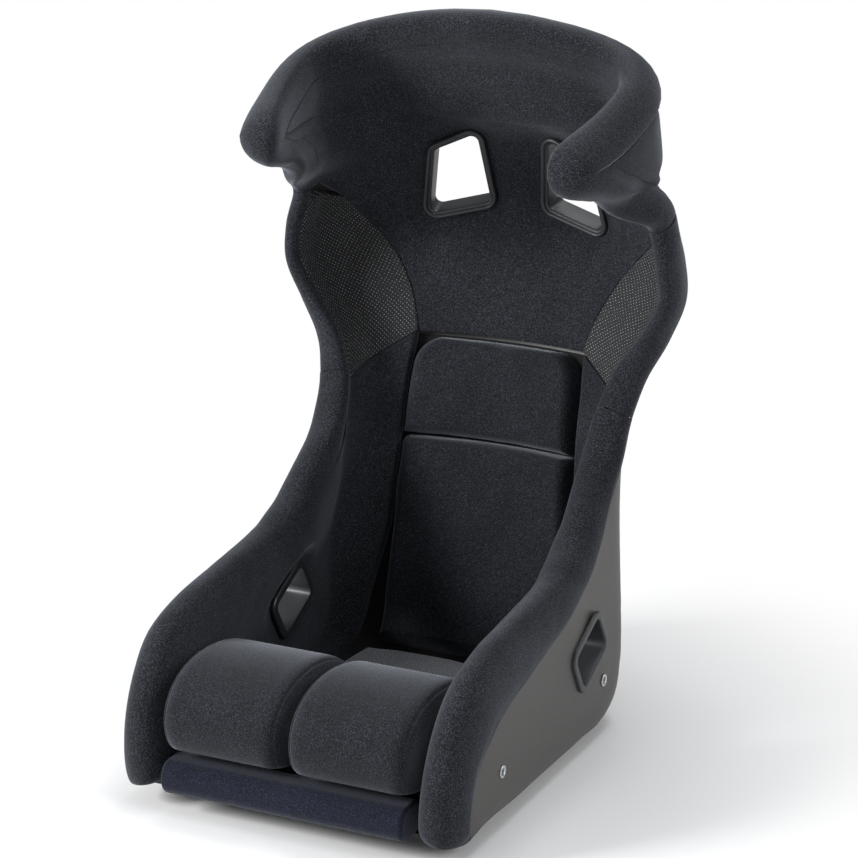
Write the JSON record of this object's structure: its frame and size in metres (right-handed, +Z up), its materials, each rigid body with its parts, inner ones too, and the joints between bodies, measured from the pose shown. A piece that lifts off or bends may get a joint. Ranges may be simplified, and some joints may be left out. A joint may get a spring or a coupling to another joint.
{
  "type": "racing seat",
  "caption": "Fixed-back bucket racing seat with wrap-around head wings, padded rim rolls, harness slots and removable leg and back cushions.",
  "frame": {"origin": "middle of the seat's overall width and depth, on the surface that the flat belly of the shell stands on", "axes": "+Z up, the seat faces -Y, +X is the occupant's left"},
  "size_m": [0.5188, 0.6668, 0.8385],
  "materials": {
    "laminate": "satin gel coat over laminated glass fibre",
    "velour": "short-pile black velour over foam",
    "grip_fabric": "black non-slip fabric with small pale dots",
    "lining": "thin black backing cloth",
    "bar_cloth": "smooth navy-black cloth over foam",
    "bezel_plastic": "satin black moulded plastic",
    "zinc_steel": "zinc-plated steel threaded insert"
  },
  "bodies": {
    "seat": {"shell": "laminate", "mount_inserts": "zinc_steel", "roll_left": "velour", "roll_right": "velour", "side_pad_left": "velour", "side_pad_right": "velour", "shoulder_roll_left": "velour", "shoulder_roll_right": "velour", "grip_left": "grip_fabric", "grip_right": "grip_fabric", "head_roll": "velour", "wing_panel_left": "velour", "wing_panel_right": "velour", "back_panel": "velour", "liner": "lining", "pan_pad": "grip_fabric", "front_bar": "bar_cloth", "slot_bezel_left": "bezel_plastic", "slot_bezel_right": "bezel_plastic", "slot_back_left": "bezel_plastic", "slot_back_right": "bezel_plastic", "lap_bezel_left": "bezel_plastic", "lap_bezel_right": "bezel_plastic", "lap_inner_left": "bezel_plastic", "lap_inner_right": "bezel_plastic"},
    "upper_cushion": {"cushion_upper": "velour"},
    "lower_cushion": {"cushion_lower": "velour"},
    "left_leg_cushion": {"leg_cushion_left": "velour"},
    "right_leg_cushion": {"leg_cushion_right": "velour"}
  },
  "joints": [
    {"name": "leg_cushion_left_lift", "type": "slide", "parent": "seat", "child": "left_leg_cushion", "axis": [0, 0, 1], "range_m": [0, 0.12]},
    {"name": "leg_cushion_right_lift", "type": "slide", "parent": "seat", "child": "right_leg_cushion", "axis": [0, 0, 1], "range_m": [0, 0.12]},
    {"name": "cushion_upper_pull", "type": "slide", "parent": "seat", "child": "upper_cushion", "axis": [0, -0.9744, 0.2249], "range_m": [0, 0.08]},
    {"name": "cushion_lower_pull", "type": "slide", "parent": "seat", "child": "lower_cushion", "axis": [0, -0.9713, 0.2379], "range_m": [0, 0.08]}
  ]
}
